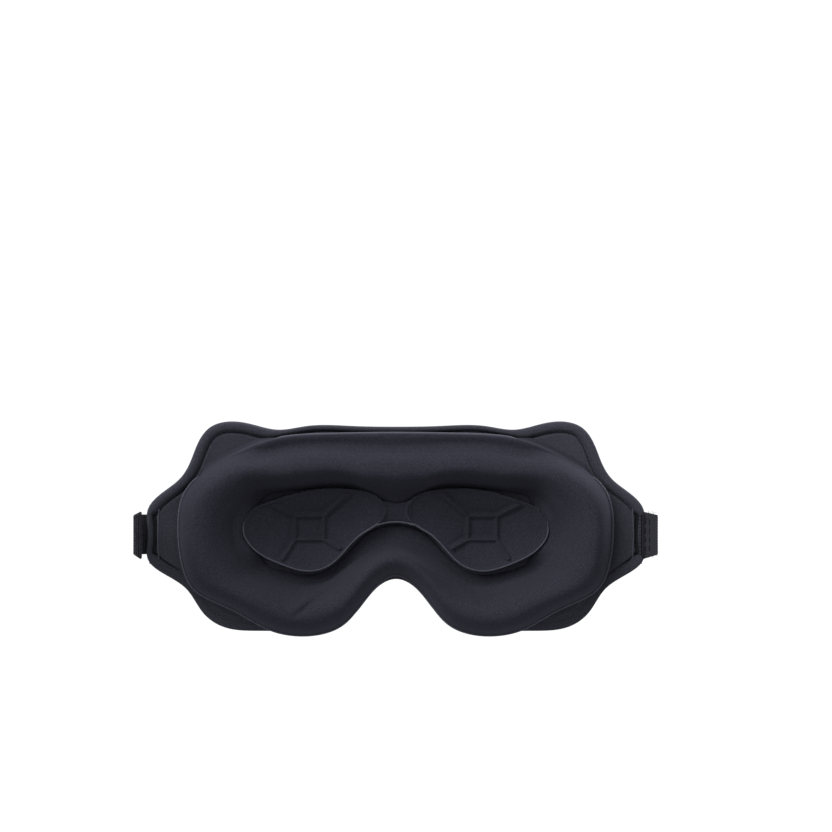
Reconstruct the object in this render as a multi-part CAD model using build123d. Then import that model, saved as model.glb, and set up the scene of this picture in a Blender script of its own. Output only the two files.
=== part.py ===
from build123d import *
import os
from math import asin, cos, degrees, hypot, radians, sin, sqrt

# Sleep eye mask, upright as it is worn, in millimetres.
# +X is the wearer's left, +Z is up and +Y is towards the face, so the outer face looks to -Y.
# The mask is drawn about the middle of its tabs (z = 0) and moved at the end, so that the
# origin of the finished part is the top of the nose notch on the lining.
# "Depth" is measured from the lining's face, at right angles to it: plus towards the face.

# ---- driving dimensions ------------------------------------------------------------------
BEND_RADIUS = 360.0        # plan curve of the whole mask around the head
TAB_X = 118.5              # half of the width over the tabs
TAB_HALF_HEIGHT = 11.5     # half of the straight upright edge of a tab
NOTCH_Z = -23.0            # top of the nose notch in the flange

COVER_THICKNESS = 1.0      # outer cover, lining and cushion cover are all this thick
FLANGE_THICKNESS = 4.0     # outer cover, foam and lining together, at the flat corners
DOME_HEIGHT = 13.0         # crown of the outer face behind the lining's face
DOME_PLAN_RADIUS = 251.0   # curve of the dome seen from above
DOME_SIDE_RADIUS = 240.0   # curve of the dome seen from the side

RIM_WIDTH = 5.5            # pressed border band
RIM_HEIGHT = 1.2
RIM_GAP = 0.8              # groove between the border band and the cushion

CUSHION_SHOULDER = 14.0    # the cushion is full width up to this depth
CUSHION_CREST = 24.0       # highest depth of the cushion
CREST_OUTER_SHARE = 0.18   # where the crest starts and ends across the cushion's width
CREST_INNER_SHARE = 0.68
SKIN_SHARE = 0.04          # cushion cover's thickness as a share of the cushion's width

CUP_RIM_HEIGHT = 8.0       # eye cups, over the lining
CUP_FLOOR_HEIGHT = 1.2
CUP_LIP = 1.6              # width of the cup's rounded edge
CUP_CENTRE = (41.9, 2.3)   # middle of the left cup's flat floor
CUP_FLOOR_SIZE = (13.8, 11.3)

STRAP_WIDTH = 19.0
STRAP_THICKNESS = 1.2
STRAP_DEPTH = -1.8         # depth of the strap's middle inside the tab
STRAP_SEWN_X = 109.0       # inner end of the strap inside the tab
STRAP_EXIT = 3.5           # straight length outside the tab, before the bend
STRAP_BEND_RADIUS = 3.5
STRAP_LEAN = 9.0           # degrees that a strap leans inwards as it runs back
STRAP_RISE = 3.3           # degrees that a strap rises as it runs back
BAND_LENGTH = 98.0
TIP_LENGTH = 47.0
TIP_GAP = 0.3
SLOT_X = (112.3, 115.9)    # the slot in the lining that shows the sewn strap
SLOT_HALF_HEIGHT = 9.8

PATCH_SIZE = (17.0, 43.0)  # across and along the strap
PATCH_THICKNESS = 1.3
STITCH_SIZE = (0.5, 2.2, 0.35)  # width, length and height of one stitch
STITCH_PITCH = 3.2
STITCH_MARGIN = 1.2        # from the patch's edge to its row of stitches
STITCH_BEDDED = 0.6        # share of a tack stitch's height that stands off the fabric
TACK_COUNT = 14            # slanted stitches in one tab's row
TACK_TILT = 32.0           # degrees off level, to one side and the other in turn
TACK_X = 114.4              # distance of a tab's row of stitches from the middle

BARREL_HALF_HEIGHT = 60.0  # taller than the mask
BRIDGE_HEIGHT = 6.0        # web between the eye cups, over the lining
STOCK = 300.0              # larger than the mask in every direction
SLIVER_VOLUME = 0.02       # cubic millimetres; smaller scraps of a cut are dropped

# ---- outlines, right half, from the top middle to the bottom middle -----------------------
FLANGE_TOP = [(0, 51.3), (22, 51.7), (44, 51.6), (57.5, 49.9), (70, 52.6), (81.6, 53.8), (89.4, 51.2),
              (95.5, 43), (98.6, 35), (103, 27.2), (112.2, 19.5), (TAB_X, TAB_HALF_HEIGHT)]
FLANGE_BOTTOM = [(TAB_X, -TAB_HALF_HEIGHT), (110.7, -19.3), (100.3, -27), (92.6, -38.6), (82.6, -45.6),
                 (71, -47.5), (57.5, -48), (44, -49.2), (36, -48.5), (27, -45.6), (19, -38.8),
                 (12, -30), (6, -24.8), (0, NOTCH_Z)]
DOME_EDGE = [(0, 51.2), (22, 51.5), (44, 50.4), (60, 48.2), (74, 43.8), (87, 37), (97, 29.6),
             (106, 20.6), (110, 8), (109.5, -8), (102.5, -23.4), (89.9, -29.8), (76, -36.7), (66, -43),
             (55, -47.7), (44, -49), (36, -48.3), (27, -45.3), (19, -38.5), (12, -29.7), (6, -24.6),
             (0, NOTCH_Z + 0.2)]
CUSHION_OUTER = [(0, 48.4), (28, 48), (55, 46.3), (71, 41), (85, 33.5), (95, 26), (100.5, 18),
                 (102.6, 3), (101, -13), (96, -25), (87.5, -31), (75, -37.2), (58, -46.4),
                 (41.6, -48.5), (28.5, -45.2), (21, -39), (10, -25.4), (0, -19.8)]
CUSHION_INNER = [(0, 17.5), (20, 24), (40, 24.6), (58, 22), (68, 17.4), (74.5, 12), (77.4, 7),
                 (78.4, 1), (76.5, -6), (71, -13), (64, -17.4), (54, -21), (45, -23.2), (38, -22.6),
                 (29, -18), (21, -10.5), (11, -1.5), (0, 1.2)]
CUP_SIDES = [
    [(61.5, 15.0), (41.6, 20.6), (20.8, 20.9)],
    [(20.8, 20.9), (9.1, 17.4), (4.6, 10.7), (8.3, 4.5), (16.7, -1.0), (24.5, -8.8)],
    [(24.5, -8.8), (32.5, -16.0), (41.6, -18.4), (55.8, -14.7)],
    [(55.8, -14.7), (67.1, -8.5), (73.3, 1.9), (68.7, 11.6), (61.5, 15.0)],
]
BRIDGE_EDGE = [(0, 14.0), (6.5, 16.2), (7.0, 9.5), (9.5, 3.6), (0, 5.2)]


# ---- drawing helpers ---------------------------------------------------------------------
def moved_inwards(half, distance):
    """Move each point of a right half at right angles to the line between its neighbours."""
    moved = []
    for index, (x, z) in enumerate(half):
        before = half[max(index - 1, 0)]
        after = half[min(index + 1, len(half) - 1)]
        along_x = after[0] - before[0]
        along_z = 0.0 if x == 0 else after[1] - before[1]
        scale = distance / hypot(along_x, along_z)
        moved.append((x + along_z * scale, z - along_x * scale))
    return moved


def between(outer, inner, share):
    """An outline part of the way from an outer to an inner one, point by point."""
    return [(a + (c - a) * share, b + (d - b) * share) for (a, b), (c, d) in zip(outer, inner)]


def smooth_face(half):
    """A face on the XZ plane inside one smooth curve: a right half and its mirror image."""
    points = half + [(-x, z) for x, z in reversed(half[1:-1])]
    curve = Spline(*[(x, 0, z) for x, z in points], periodic=True)
    return Face(Wire([curve]))


def flange_face(inset=0.0):
    """The flange's outline: curved top and bottom edges between two straight tab edges."""
    half = moved_inwards(FLANGE_TOP + FLANGE_BOTTOM, inset)
    top = half[:len(FLANGE_TOP)]
    bottom = half[len(FLANGE_TOP):]
    top = [(-x, z) for x, z in reversed(top[1:])] + top
    bottom = bottom + [(-x, z) for x, z in reversed(bottom[:-1])]
    upper = Spline(*[(x, 0, z) for x, z in top])
    lower = Spline(*[(x, 0, z) for x, z in bottom])
    right_tab = Line(upper @ 1, lower @ 0)
    left_tab = Line(lower @ 1, upper @ 0)
    return Face(Wire([upper, right_tab, lower, left_tab]))


def prism(face):
    """The face pushed right through the mask, along Y."""
    return extrude(Pos(0, -STOCK / 2, 0) * face, amount=STOCK, dir=(0, 1, 0))


def sheet(depth_from, depth_to):
    """A curved sheet of stock between two depths."""
    outside = Cylinder(BEND_RADIUS - depth_from, STOCK)
    inside = Cylinder(BEND_RADIUS - depth_to, 2 * STOCK)
    return Pos(0, BEND_RADIUS, 0) * (outside - inside)


def barrel(inset):
    """The dome's doubly curved body, solid back to the axis that its plan curve turns about."""
    plan = DOME_PLAN_RADIUS - inset
    side = DOME_SIDE_RADIUS - inset
    edge = plan - side + sqrt(side**2 - BARREL_HALF_HEIGHT**2)
    low = (edge, 0, -BARREL_HALF_HEIGHT)
    high = (edge, 0, BARREL_HALF_HEIGHT)
    arc = ThreePointArc(low, (plan, 0, 0), high)
    closing = Polyline(high, (0, 0, BARREL_HALF_HEIGHT), (0, 0, -BARREL_HALF_HEIGHT), low)
    body = revolve(Face(Wire([arc] + closing.edges())), axis=Axis.Z)
    return Pos(0, DOME_PLAN_RADIUS - DOME_HEIGHT, 0) * body


def base_y(x, depth=0.0):
    """Y of the point at a depth, beside the given X."""
    return BEND_RADIUS - sqrt((BEND_RADIUS - depth)**2 - x**2)


def mirrored(shape):
    """The same piece for the other side of the mask."""
    return mirror(shape, about=Plane.YZ)


# ---- the mask's layers -------------------------------------------------------------------
def make_shell_layers(strap_root):
    """The outer cover, the foam behind it and the lining, with a slot at each tab."""
    lining_back = -COVER_THICKNESS
    cover_front = COVER_THICKNESS - FLANGE_THICKNESS
    flange = prism(flange_face())
    dome = prism(smooth_face(DOME_EDGE))
    dome_core = prism(smooth_face(moved_inwards(DOME_EDGE, COVER_THICKNESS)))
    behind_lining = sheet(-STOCK / 4, lining_back)

    body = (flange & sheet(-FLANGE_THICKNESS, lining_back)) + (dome & barrel(0) & behind_lining)
    foam = (flange & sheet(cover_front, lining_back)) + (dome_core & barrel(COVER_THICKNESS) & behind_lining)
    cover = body - foam
    lining = flange & sheet(lining_back, 0)
    slot_middle = (SLOT_X[0] + SLOT_X[1]) / 2
    slot = Pos(slot_middle, 0, 0) * Box(SLOT_X[1] - SLOT_X[0], STOCK, 2 * SLOT_HALF_HEIGHT)
    lining = lining - slot - mirrored(slot)
    foam = foam - strap_root - mirrored(strap_root)
    return cover, foam, lining


def make_rim():
    """The pressed border band, clear of the cushion and of the lining's two slots."""
    cushion = prism(smooth_face(moved_inwards(CUSHION_OUTER, -RIM_GAP)))
    band = prism(flange_face()) - prism(flange_face(RIM_WIDTH))
    slot = Pos(SLOT_X[0], 0, 0) * Box(2 * (SLOT_X[1] - SLOT_X[0]), STOCK, 2 * SLOT_HALF_HEIGHT)
    return (band & sheet(0, RIM_HEIGHT)) - cushion - slot - mirrored(slot)


def ring(outer_share, inner_share, depth_from, depth_to):
    """A closed ring of the cushion between two shares of its width and two depths."""
    outer = prism(smooth_face(between(CUSHION_OUTER, CUSHION_INNER, outer_share)))
    inner = prism(smooth_face(between(CUSHION_OUTER, CUSHION_INNER, inner_share)))
    return (outer - inner) & sheet(depth_from, depth_to)


def make_cushion():
    """The ring's foam, two steps high, and the fabric that covers it down to the lining."""
    whole = ring(0, 1, 0, CUSHION_SHOULDER)
    whole = whole + ring(CREST_OUTER_SHARE, CREST_INNER_SHARE, CUSHION_SHOULDER, CUSHION_CREST)
    foam_shoulder = CUSHION_SHOULDER - COVER_THICKNESS
    foam = ring(SKIN_SHARE, 1 - SKIN_SHARE, 0, foam_shoulder)
    foam = foam + ring(CREST_OUTER_SHARE + SKIN_SHARE, CREST_INNER_SHARE - SKIN_SHARE,
                       foam_shoulder, CUSHION_CREST - COVER_THICKNESS)
    return whole - foam, foam


# ---- eye cups ----------------------------------------------------------------------------
def cup_wire(inset):
    """The cup's outline, inset towards its middle, as four curves that meet at the ribs."""
    middle_x, middle_z = CUP_CENTRE
    edges = []
    for side in CUP_SIDES:
        points = []
        for x, z in side:
            reach = hypot(x - middle_x, z - middle_z)
            share = 1 - inset / reach
            points.append((middle_x + (x - middle_x) * share, 0, middle_z + (z - middle_z) * share))
        edges.append(Spline(*points))
    return Wire(edges)


def make_cup():
    """One pressed cup: a low plate on the lining with a four-sided hollow in it."""
    middle_x, middle_z = CUP_CENTRE
    plate = prism(Face(cup_wire(0))) & sheet(0, CUP_RIM_HEIGHT)
    half_x, half_z = CUP_FLOOR_SIZE[0] / 2, CUP_FLOOR_SIZE[1] / 2
    floor_y = base_y(middle_x, CUP_FLOOR_HEIGHT)
    mouth_y = base_y(middle_x, CUP_RIM_HEIGHT)
    corners = [(half_x, half_z), (-half_x, half_z), (-half_x, -half_z), (half_x, -half_z)]
    corners = [(middle_x + x, floor_y, middle_z + z) for x, z in corners]
    floor = Wire([Line(corners[i], corners[(i + 1) % 4]) for i in range(4)])
    mouth = Pos(0, mouth_y, 0) * cup_wire(CUP_LIP)
    hollow = Solid.make_loft([floor, mouth], ruled=True)
    above = extrude(Face(mouth), amount=STOCK / 10, dir=(0, 1, 0))
    turn = degrees(asin(middle_x / BEND_RADIUS))
    hinge = Axis((middle_x, mouth_y, 0), (0, 0, 1))
    return plate - hollow.rotate(hinge, turn) - above.rotate(hinge, turn)


def make_bridge(cups):
    """The web between the two cups, over the nose."""
    edge = smooth_face(BRIDGE_EDGE)
    return (prism(edge) & sheet(0, BRIDGE_HEIGHT)) - cups


# ---- straps ------------------------------------------------------------------------------
def make_strap_root():
    """The sewn end of the strap: it follows the mask's curve and stops before the bend."""
    half = STRAP_THICKNESS / 2
    tangent = asin(TAB_X / BEND_RADIUS)
    end_x = TAB_X + STRAP_EXIT * cos(tangent)
    block = Box(end_x - STRAP_SEWN_X, STOCK, STRAP_WIDTH)
    return sheet(STRAP_DEPTH - half, STRAP_DEPTH + half) & (Pos((end_x + STRAP_SEWN_X) / 2, 0, 0) * block)


def strap_bend():
    """The pivot in the middle of the bend, and the place where the straight strap starts, along Y."""
    tangent = asin(TAB_X / BEND_RADIUS)
    turned = radians(90 + STRAP_LEAN)
    exit_x = TAB_X + STRAP_EXIT * cos(tangent)
    exit_y = base_y(TAB_X, STRAP_DEPTH) + STRAP_EXIT * sin(tangent)
    centre_x = exit_x - STRAP_BEND_RADIUS * sin(tangent)
    centre_y = exit_y + STRAP_BEND_RADIUS * cos(tangent)
    middle = (tangent + turned) / 2
    pivot = (centre_x + STRAP_BEND_RADIUS * sin(middle), centre_y - STRAP_BEND_RADIUS * cos(middle), 0)
    start = (centre_x + STRAP_BEND_RADIUS * sin(turned), centre_y - STRAP_BEND_RADIUS * cos(turned), 0)
    place = Pos(*start) * Rot(0, 0, STRAP_LEAN) * Rot(STRAP_RISE, 0, 0)
    return pivot, place


def strap_block(place, across, start, length, width, thickness):
    """A flat block along the strap; across is how far its middle stands off the strap's."""
    return place * Pos(across, start + length / 2, 0) * Box(thickness, length, width)


def make_patch_stitching(place, face_offset, start):
    """Separate stitches round a patch, on the strap's other face; the pile hides the rest."""
    width, length = PATCH_SIZE
    stitch_width, stitch_length, stitch_height = STITCH_SIZE
    across = width / 2 - STITCH_MARGIN
    along = length / 2 - STITCH_MARGIN
    stitches = []
    count_long = int(2 * along / STITCH_PITCH)
    count_short = int(2 * across / STITCH_PITCH)
    for index in range(count_long):
        position = -along + (index + 0.5) * 2 * along / count_long
        for side in (-1, 1):
            stitches.append(Pos(0, position, side * across) * Box(stitch_height, stitch_length, stitch_width))
    for index in range(count_short):
        position = -across + (index + 0.5) * 2 * across / count_short
        for side in (-1, 1):
            stitches.append(Pos(0, side * along, position) * Box(stitch_height, stitch_width, stitch_length))
    middle = Pos(face_offset, start + length / 2, 0)
    return Compound(children=[place * middle * stitch for stitch in stitches])


def make_tab_stitching():
    """The upright row of slanted tack stitches on the outer face of a tab."""
    width, length, height = STITCH_SIZE
    pitch = 2 * (STRAP_WIDTH / 2 - 1) / TACK_COUNT
    surface = base_y(TACK_X, -FLANGE_THICKNESS - STITCH_BEDDED * height)
    lean = degrees(asin(TACK_X / BEND_RADIUS))
    tacks = []
    for index in range(TACK_COUNT):
        z = (index + 0.5 - TACK_COUNT / 2) * pitch
        tilt = TACK_TILT if index % 2 else -TACK_TILT
        tacks.append(Pos(TACK_X, surface, z) * Rot(0, 0, lean) * Rot(0, tilt, 0) * Box(length, height, width))
    return Compound(children=tacks)


# ---- the whole mask ----------------------------------------------------------------------
def make_mask():
    strap_root = make_strap_root()
    cover, foam, lining = make_shell_layers(strap_root)
    cushion_cover, cushion_foam = make_cushion()
    cup = make_cup()
    other_cup = mirrored(cup)
    bridge = make_bridge(cup + other_cup)
    tacks = make_tab_stitching()
    pivot, place = strap_bend()
    band = strap_block(place, 0, 0, BAND_LENGTH, STRAP_WIDTH, STRAP_THICKNESS)
    tip_start = BAND_LENGTH + TIP_GAP
    tip = strap_block(place, 0, tip_start, TIP_LENGTH, STRAP_WIDTH, STRAP_THICKNESS)
    patch_start = tip_start + (TIP_LENGTH - PATCH_SIZE[1]) / 2
    patch_offset = (STRAP_THICKNESS + PATCH_THICKNESS) / 2
    stitch_offset = (STRAP_THICKNESS + STITCH_SIZE[2]) / 2
    patch = {}
    patch_stitching = {}
    for name, side in (("outside", 1), ("inside", -1)):
        patch[name] = strap_block(place, side * patch_offset, patch_start, PATCH_SIZE[1],
                                  PATCH_SIZE[0], PATCH_THICKNESS)
        patch_stitching[name] = make_patch_stitching(place, -side * stitch_offset, patch_start)
    patch_face = place * Pos(patch_offset + PATCH_THICKNESS / 2, patch_start + PATCH_SIZE[1] / 2, 0)
    print("pivot", pivot, "strap runs along", Plane(place).y_dir)
    print("middle of the left patch's face", patch_face.position, "normal", Plane(place).x_dir)
    return {
        "outer_cover": cover,
        "shell_foam": foam,
        "inner_panel": lining,
        "edge_rim": make_rim(),
        "cushion_cover": cushion_cover,
        "cushion_foam": cushion_foam,
        "left_eye_cup": cup,
        "right_eye_cup": other_cup,
        "cup_bridge": bridge,
        "left_strap_root": strap_root,
        "right_strap_root": mirrored(strap_root),
        "left_tab_stitching": tacks,
        "right_tab_stitching": mirrored(tacks),
        "left_strap_band": band,
        "right_strap_band": mirrored(band),
        "left_strap_tip": tip,
        "right_strap_tip": mirrored(tip),
        "loop_patch": patch["outside"],
        "loop_patch_stitching": patch_stitching["outside"],
        "hook_patch": mirrored(patch["inside"]),
        "hook_patch_stitching": mirrored(patch_stitching["inside"]),
    }


os.makedirs("parts", exist_ok=True)
for name, shape in make_mask().items():
    solids = [solid for solid in shape.solids() if solid.volume > SLIVER_VOLUME]
    placed = Pos(0, 0, -NOTCH_Z) * Compound(children=solids)
    export_step(placed, f"parts/{name}.step")
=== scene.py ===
from math import asin, cos, pi, radians, sin, sqrt

import bmesh
import bpy
import numpy as np
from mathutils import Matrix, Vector


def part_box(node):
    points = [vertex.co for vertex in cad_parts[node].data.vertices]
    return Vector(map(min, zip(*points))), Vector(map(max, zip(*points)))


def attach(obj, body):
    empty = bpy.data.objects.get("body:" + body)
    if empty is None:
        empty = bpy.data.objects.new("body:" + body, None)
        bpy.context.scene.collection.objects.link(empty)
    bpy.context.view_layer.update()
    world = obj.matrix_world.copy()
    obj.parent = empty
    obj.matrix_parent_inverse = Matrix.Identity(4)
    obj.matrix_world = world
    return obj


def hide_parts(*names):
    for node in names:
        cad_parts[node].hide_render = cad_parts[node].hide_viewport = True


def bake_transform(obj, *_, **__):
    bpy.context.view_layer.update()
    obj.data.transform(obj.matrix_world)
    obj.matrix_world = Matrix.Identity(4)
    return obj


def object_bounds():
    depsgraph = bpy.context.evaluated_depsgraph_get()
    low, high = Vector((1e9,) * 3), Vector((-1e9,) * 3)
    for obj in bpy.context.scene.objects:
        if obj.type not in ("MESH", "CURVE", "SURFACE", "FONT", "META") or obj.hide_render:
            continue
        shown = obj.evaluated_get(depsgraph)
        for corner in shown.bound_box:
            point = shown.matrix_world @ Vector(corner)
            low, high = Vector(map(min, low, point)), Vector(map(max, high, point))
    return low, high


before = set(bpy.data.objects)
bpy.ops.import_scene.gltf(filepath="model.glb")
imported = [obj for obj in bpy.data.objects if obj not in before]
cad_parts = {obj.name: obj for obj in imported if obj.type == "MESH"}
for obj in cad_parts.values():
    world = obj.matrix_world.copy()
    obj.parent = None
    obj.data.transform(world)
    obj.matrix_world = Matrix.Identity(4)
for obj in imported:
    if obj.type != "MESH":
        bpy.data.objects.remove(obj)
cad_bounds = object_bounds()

# Looks of the sleep eye mask. The mask is drawn flat, in millimetres about the middle of the
# tabs: x to the wearer's left, z up, and a depth from the lining towards the face. place() bends
# that round the head and gives metres in the shared frame.

MM = 0.001
LINING_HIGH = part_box("inner_panel")[1] / MM
ROOT_LOW, ROOT_HIGH = (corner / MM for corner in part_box("left_strap_root"))

TAB_X = LINING_HIGH.x  # half of the mask's width
TAB_HALF_HEIGHT = 11.5  # of a tab's straight end
TAB_Z = (ROOT_LOW.z + ROOT_HIGH.z) / 2  # height of the tabs' middle in the frame
BEND_RADIUS = 360.0  # plan curve of the mask round the head
FLANGE = 4.0  # thickness of the flat corners
DOME_HEIGHT = 13.0  # of the outer face's dome
DOME_PLAN_RADIUS = 251.0  # its curve seen from above
DOME_SIDE_RADIUS = 240.0  # and seen from the side
CREST = 24.0  # height of the cushion over the lining

LOOP_COUNT = 560  # points round the mask's edge
DOME_LOOP_COUNT = 900  # points round the dome's crease
FINE_LOOP_COUNT = 1400  # points that distances to the edge are taken from

# Left halves of the outlines, as x and z, from the top middle to the bottom middle.
FLANGE_EDGE = [(0, 51.3), (22, 51.7), (44, 51.6), (57.5, 49.9), (70, 52.6), (81.6, 53.8), (89.4, 51.2),
               (95.5, 43), (98.6, 35), (103, 27.2), (112.2, 19.5), (TAB_X, 11.5), (TAB_X, 4),
               (TAB_X, -4), (TAB_X, -11.5), (110.7, -19.3), (100.3, -27), (92.6, -38.6), (82.6, -45.6),
               (71, -47.5), (57.5, -48), (44, -49.2), (36, -48.5), (27, -45.6), (19, -38.8),
               (12, -30), (6, -24.8), (0, -23)]
DOME_EDGE = [(0, 51.2), (22, 51.5), (44, 50.4), (60, 48.2), (74, 43.8), (87, 37), (97, 29.6),
             (106, 20.6), (110, 8), (109.5, -8), (102.5, -23.4), (89.9, -29.8), (76, -36.7), (66, -43),
             (55, -47.7), (44, -49), (36, -48.3), (27, -45.3), (19, -38.5), (12, -29.7), (6, -24.6),
             (0, -22.8)]
CUSHION_OUTER = [(0, 48.4), (28, 48), (55, 46.3), (71, 41), (85, 33.5), (95, 26), (100.5, 18),
                 (102.6, 3), (101, -13), (96, -25), (87.5, -31), (75, -37.2), (58, -46.4),
                 (41.6, -48.5), (28.5, -45.2), (21, -39), (10, -25.4), (0, -19.8)]
CUSHION_INNER = [(0, 17.5), (20, 24), (40, 24.6), (58, 22), (68, 17.4), (74.5, 12), (77.4, 7),
                 (78.4, 1), (76.5, -6), (71, -13), (64, -17.4), (54, -21), (45, -23.2), (38, -22.6),
                 (29, -18), (21, -10.5), (11, -1.5), (0, 1.2)]

# The left cup's outline, in four sides between the outer ends of its ribs.
CUP_SIDES = [
    [(61.5, 15.0), (41.6, 20.6), (20.8, 20.9)],
    [(20.8, 20.9), (9.1, 17.4), (4.6, 10.7), (8.3, 4.5), (16.7, -1.0), (24.5, -8.8)],
    [(24.5, -8.8), (32.5, -16.0), (41.6, -18.4), (55.8, -14.7)],
    [(55.8, -14.7), (67.1, -8.5), (73.3, 1.9), (68.7, 11.6), (61.5, 15.0)],
]
CUP_CENTRE = np.array([41.9, 2.3])
CUP_FLOOR = np.array([13.8, 11.3])  # size of the cup's flat rectangle
CUP_DEEP = 1.2  # depth of the cup's floor
CUP_BRIM = 7.2  # depth at the top of the cup's facets
RIB_HEIGHT = 1.95
RIB_HALF_WIDTH = 0.95
RIB_FOOT = 2.2  # from a rib's middle to the dent beside it


# ---- numbers ----
def place(x, depth, z):
    """Points in the shared frame, in metres, from mask coordinates in millimetres."""
    x, depth, z = np.broadcast_arrays(x, depth, z)
    y = BEND_RADIUS - np.sqrt((BEND_RADIUS - depth)**2 - x**2)
    return np.stack([x, y, z + TAB_Z], axis=-1) * MM


def straight(x, depth, z):
    """The same points in straight millimetres about the middle of the tabs."""
    return place(x, depth, z) / MM - [0, 0, TAB_Z]


def in_metres(points):
    """Straight millimetre points in the shared frame."""
    return (np.array(points) + [0, 0, TAB_Z]) * MM


def smoothstep(low, high, value):
    """0 up to low and 1 from high on, with a smooth rise between them."""
    t = np.clip((value - low) / (high - low), 0, 1)
    return t * t * (3 - 2 * t)


def spline(knots, values, at, period=None):
    """A cubic spline through the values, closed if it has a period."""
    knots, values = np.asarray(knots, float), np.asarray(values, float)
    n = len(knots)
    steps = np.diff(np.append(knots, period) if period else knots)
    after = np.roll(values, -1, axis=0) if period else values[1:]
    slopes = (after - values[:len(steps)]) / steps[:, None]
    matrix, right = np.zeros((n, n)), np.zeros_like(values)
    for i in range(n):
        if period is None and i in (0, n - 1):
            matrix[i, i] = 1
            continue
        before = (i - 1) % n
        matrix[i, before] += steps[before]
        matrix[i, i] += 2 * (steps[before] + steps[i])
        matrix[i, (i + 1) % n] += steps[i]
        right[i] = 6 * (slopes[i] - slopes[before])
    bends = np.linalg.solve(matrix, right)
    where = np.clip(np.searchsorted(knots, at, side="right") - 1, 0, len(steps) - 1)
    h = steps[where][:, None]
    t = (np.asarray(at) - knots[where])[:, None]
    low, high = bends[where], bends[(where + 1) % n]
    return (values[where] + t * (slopes[where] - h * (2 * low + high) / 6)
            + t**2 * low / 2 + t**3 * (high - low) / (6 * h))


def both_halves(half):
    """A whole outline from its left half."""
    return np.array(half + [(-x, z) for x, z in reversed(half[1:-1])], float)


def matched_loops(halves, count):
    """Smooth closed loops through outlines whose points correspond one to one."""
    loops = [both_halves(half) for half in halves]
    chords = sum(np.linalg.norm(np.roll(loop, -1, axis=0) - loop, axis=1) for loop in loops)
    knots = np.concatenate([[0], np.cumsum(chords)])
    at = np.linspace(0, knots[-1], count, endpoint=False)
    return [spline(knots[:-1], loop, at, period=knots[-1]) for loop in loops]


def smooth_round(values, spread):
    """Blur values along a closed loop; spread is in points."""
    count = len(values)
    far = np.minimum(np.arange(count), count - np.arange(count))
    kernel = np.exp(-0.5 * (far / spread)**2)
    kernel = np.fft.rfft(kernel / kernel.sum())[:, None]
    flat = values.reshape(count, -1)
    return np.fft.irfft(np.fft.rfft(flat, axis=0) * kernel, count, axis=0).reshape(values.shape)


def inward(loop, spread=7):
    """Unit directions from a clockwise loop towards its inside, eased round the corners."""
    along = np.roll(loop, -1, axis=0) - np.roll(loop, 1, axis=0)
    normal = np.stack([along[:, 1], -along[:, 0]], axis=1)
    normal = smooth_round(normal / np.linalg.norm(normal, axis=1)[:, None], spread)
    return normal / np.linalg.norm(normal, axis=1)[:, None]


def nearest_on(loop, targets):
    """For each point of a loop, a matching point of another, in order and evenly spread."""
    span = np.linalg.norm(loop[:, None] - targets[None], axis=2)
    best = np.unwrap(span.argmin(axis=1) * 2 * pi / len(targets))
    drift = best - np.arange(len(loop)) * 2 * pi / len(loop)
    best = np.arange(len(loop)) * 2 * pi / len(loop) + smooth_round(drift, 9)
    index = (best / (2 * pi) * len(targets)) % len(targets)
    low = np.floor(index).astype(int)
    share = (index - low)[:, None]
    low = low % len(targets)
    return targets[low] * (1 - share) + targets[(low + 1) % len(targets)] * share


def distance_to(points, loop):
    """Distance from each point to the nearest point of a loop."""
    result = np.empty(len(points))
    for start in range(0, len(points), 4000):
        chunk = points[start:start + 4000]
        result[start:start + 4000] = np.linalg.norm(chunk[:, None] - loop[None], axis=2).min(axis=1)
    return result


# ---- meshes ----
def show(name, data):
    """A new object in the scene."""
    thing = bpy.data.objects.new(name, data)
    bpy.context.scene.collection.objects.link(thing)
    return thing


def make_object(name, points, faces):
    """A smooth piece from its points, in metres, and its faces."""
    mesh = bpy.data.meshes.new(name)
    mesh.from_pydata([tuple(point) for point in np.asarray(points).reshape(-1, 3)], [], faces)
    work = bmesh.new()
    work.from_mesh(mesh)
    bmesh.ops.recalc_face_normals(work, faces=work.faces)
    for face in work.faces:
        face.smooth = True
    work.to_mesh(mesh)
    work.free()
    return show(name, mesh)


def loop_faces(rows, count, closed_rows):
    """Quads between successive closed loops of points."""
    faces = []
    for row in range(rows if closed_rows else rows - 1):
        here, there = row * count, ((row + 1) % rows) * count
        for i in range(count):
            j = (i + 1) % count
            faces.append((here + i, here + j, there + j, there + i))
    return faces


def loft(name, sections, closed=True):
    """A solid from closed loops: a ring if the loops close on themselves, else capped."""
    rows, count = sections.shape[:2]
    faces = loop_faces(rows, count, closed)
    if not closed:
        faces.append(tuple(range(count)))
        faces.append(tuple((rows - 1) * count + i for i in range(count)))
    return make_object(name, sections, faces)


def mirror_piece(piece, name):
    """The same piece on the other side of the mask."""
    mesh = piece.data.copy()
    mesh.name = name
    for vertex in mesh.vertices:
        vertex.co.x = -vertex.co.x
    mesh.flip_normals()
    return show(name, mesh)


def move_right(piece, name):
    """A piece of the left side, moved to the right."""
    twin = mirror_piece(piece, name)
    bpy.data.objects.remove(piece)
    return twin


def finish_piece(piece, body, nodes, material):
    """Material, body and replaced CAD nodes of a piece."""
    piece.data.materials.clear()
    piece.data.materials.append(material)
    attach(piece, body)
    if nodes:
        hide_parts(*nodes)
    return piece


def finish_pair(left, node, material):
    """A piece of the mask on both sides, each for its own CAD node if it stands for one."""
    right = mirror_piece(left, left.name.replace("left", "right"))
    for piece, side in ((left, "left"), (right, "right")):
        finish_piece(piece, "mask", [f"{side}_{node}"] if node else [], material)


# ---- materials ----
def set_inputs(node, values):
    """Constants on a node's own sockets."""
    for name, value in values.items():
        node.inputs[name].default_value = value


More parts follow.
